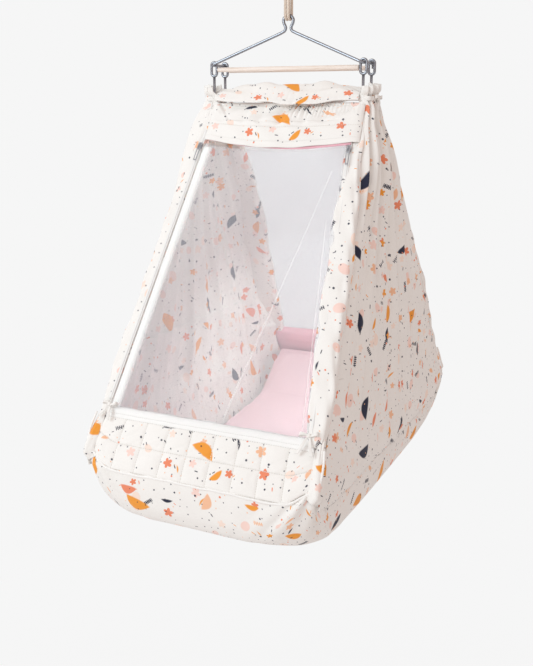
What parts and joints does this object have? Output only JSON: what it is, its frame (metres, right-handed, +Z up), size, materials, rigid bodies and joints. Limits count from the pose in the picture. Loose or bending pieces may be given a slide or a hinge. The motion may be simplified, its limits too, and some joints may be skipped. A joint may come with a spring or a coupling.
{
  "type": "hanging baby cradle",
  "caption": "Hanging baby cradle: a soft tub with a mattress under a cloth tent with a net door, on two bent-rod frames that a rod hanger and a doubled rope carry.",
  "frame": {"origin": "centre of the ceiling plate's upper face, over the rope seat", "axes": "+Z up, +X to the right of the net door seen from the front, and the net door faces -Y"},
  "size_m": [0.4486, 0.7812, 1.1359],
  "materials": {
    "chrome": "bright plated rod",
    "steel": "satin",
    "wood": "plain pale dowel",
    "rope": "twisted cotton rope",
    "print_cloth": "printed cotton",
    "white_binding": "plain white cotton",
    "pink_cloth": "plain pink cotton",
    "net": "fine white mesh"
  },
  "bodies": {
    "ceiling": {"ceiling_plate": "steel"},
    "eye": {"swivel_eye": "steel"},
    "rope": {"rope_loop": "rope", "rope_knot": "rope"},
    "cradle": {"hanger": "chrome", "left_side_frame": "chrome", "right_side_frame": "chrome", "front_end_rail": "chrome", "rear_end_rail": "chrome", "front_dowel": "wood", "rear_dowel": "wood", "roof": "print_cloth", "tub_floor": "print_cloth", "left_side_panel": "print_cloth", "right_side_panel": "print_cloth", "left_top_tie": "print_cloth", "right_top_tie": "print_cloth", "front_valance": "print_cloth", "rear_valance": "print_cloth", "front_bumper": "print_cloth", "rear_bumper": "print_cloth", "front_left_sleeve": "print_cloth", "front_right_sleeve": "print_cloth", "rear_left_sleeve": "print_cloth", "rear_right_sleeve": "print_cloth", "front_left_rim_tie": "print_cloth", "front_right_rim_tie": "print_cloth", "rear_left_rim_tie": "print_cloth", "rear_right_rim_tie": "print_cloth", "mattress": "pink_cloth", "front_valance_lining": "pink_cloth", "rear_valance_lining": "pink_cloth", "front_bumper_lining": "pink_cloth", "rear_bumper_lining": "pink_cloth", "left_zip": "white_binding", "right_zip": "white_binding", "front_rim_binding": "white_binding", "rear_rim_binding": "white_binding", "front_piping": "white_binding", "rear_piping": "white_binding", "rear_net": "net"},
    "net_door": {"net_door": "net"},
    "left_slider": {"left_zip_slider": "steel"},
    "right_slider": {"right_zip_slider": "steel"},
    "left_pull": {"left_zip_pull": "steel"},
    "right_pull": {"right_zip_pull": "steel"}
  },
  "joints": [
    {"name": "hook_swivel", "type": "hinge", "parent": "ceiling", "child": "eye", "pos_m": [0, 0, -0.02], "axis": [0, 0, 1], "continuous": true},
    {"name": "rope_swing", "type": "hinge", "parent": "eye", "child": "rope", "pos_m": [0, 0, -0.077], "axis": [0, 1, 0], "range_deg": [-20, 20]},
    {"name": "cradle_rock", "type": "hinge", "parent": "rope", "child": "cradle", "pos_m": [0, 0, -0.267], "axis": [1, 0, 0], "range_deg": [-15, 15]},
    {"name": "net_door_hinge", "type": "hinge", "parent": "cradle", "child": "net_door", "pos_m": [0, -0.32522, -0.93336], "axis": [1, 0, 0], "range_deg": [0, 150]},
    {"name": "left_zip_slide", "type": "slide", "parent": "cradle", "child": "left_slider", "axis": [-0.0896, -0.514, -0.8531], "range_m": [0, 0.457]},
    {"name": "right_zip_slide", "type": "slide", "parent": "cradle", "child": "right_slider", "axis": [0.0896, -0.514, -0.8531], "range_m": [0, 0.457]},
    {"name": "left_pull_hinge", "type": "hinge", "parent": "left_slider", "child": "left_pull", "pos_m": [-0.14998, -0.06776, -0.4954], "axis": [-0.996, 0.0462, 0.0768], "range_deg": [0, 150]},
    {"name": "right_pull_hinge", "type": "hinge", "parent": "right_slider", "child": "right_pull", "pos_m": [0.14598, -0.06776, -0.4954], "axis": [-0.996, -0.0462, -0.0768], "range_deg": [0, 150]}
  ]
}
